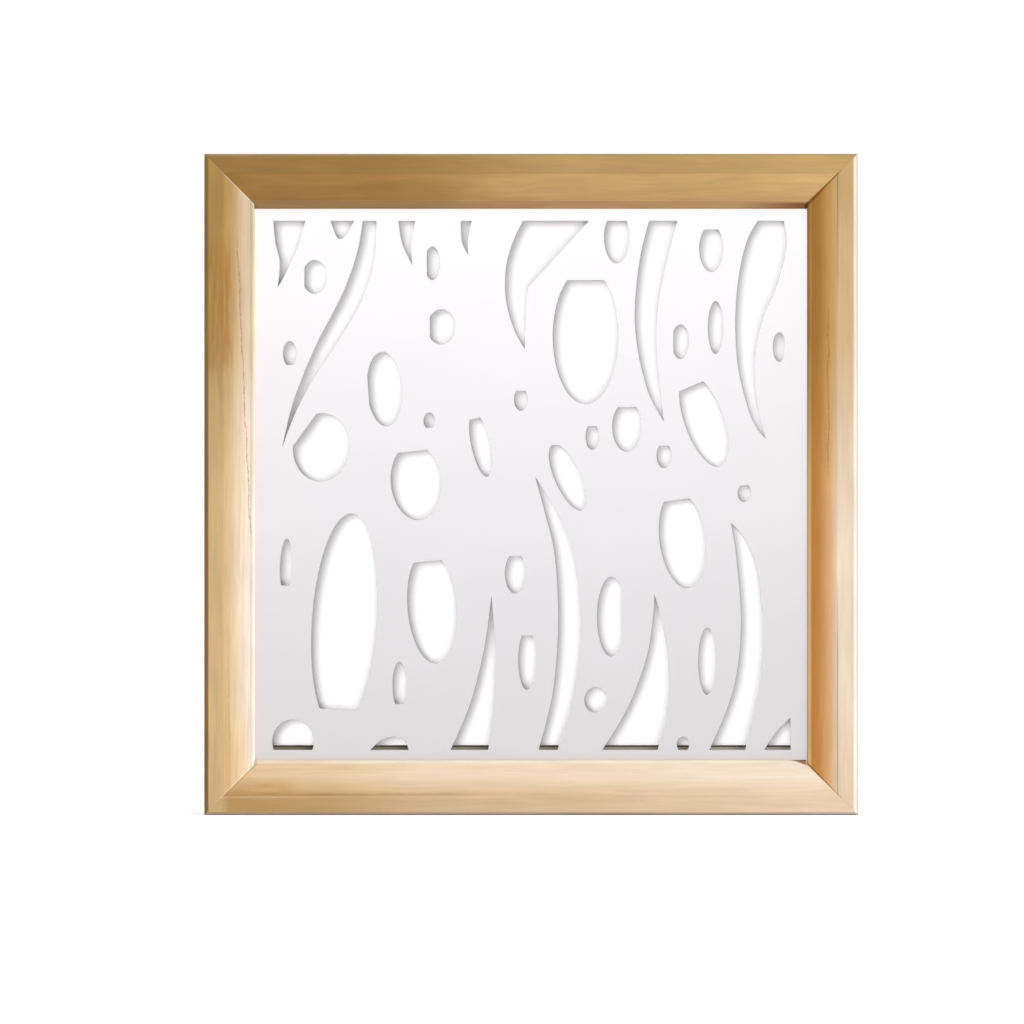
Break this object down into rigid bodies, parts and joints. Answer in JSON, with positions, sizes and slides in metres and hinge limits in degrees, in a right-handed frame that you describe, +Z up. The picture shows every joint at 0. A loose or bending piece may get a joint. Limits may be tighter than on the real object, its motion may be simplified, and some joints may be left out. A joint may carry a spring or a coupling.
{
  "type": "decorative wood panel",
  "caption": "Framed decorative panel: a white sheet pierced by tapering blades and flat-sided ovals, held by beads in a mitred, moulded wooden frame with keyhole hangers let into its back.",
  "frame": {"origin": "middle of the bottom edge, halfway through the depth of the frame", "axes": "+X to the right as seen from the front, +Y from the front to the back, +Z up; the moulded front faces -Y"},
  "size_m": [0.6, 0.035, 0.607],
  "materials": {
    "frame_wood": "pale softwood with fine straight grain under a clear satin lacquer",
    "white_sheet": "wood fibre board, sprayed smooth matt white on both faces and on the cut edges",
    "bead_wood": "planed softwood, unfinished",
    "batten_wood": "planed wood, stained dark grey-brown",
    "biscuit_wood": "compressed beech, unfinished",
    "brad_steel": "bright drawn wire and strip",
    "hanger_steel": "zinc plated"
  },
  "bodies": {
    "root": {"top_rail": "frame_wood", "bottom_rail": "frame_wood", "left_stile": "frame_wood", "right_stile": "frame_wood", "pierced_sheet": "white_sheet", "top_bead": "bead_wood", "left_bead": "bead_wood", "right_bead": "bead_wood", "bottom_batten": "batten_wood", "bead_brads": "brad_steel", "batten_brads": "brad_steel", "top_left_biscuit": "biscuit_wood", "top_right_biscuit": "biscuit_wood", "bottom_left_biscuit": "biscuit_wood", "bottom_right_biscuit": "biscuit_wood", "v_nails": "brad_steel", "left_hanger": "hanger_steel", "right_hanger": "hanger_steel", "hanger_screws": "hanger_steel"}
  },
  "joints": []
}
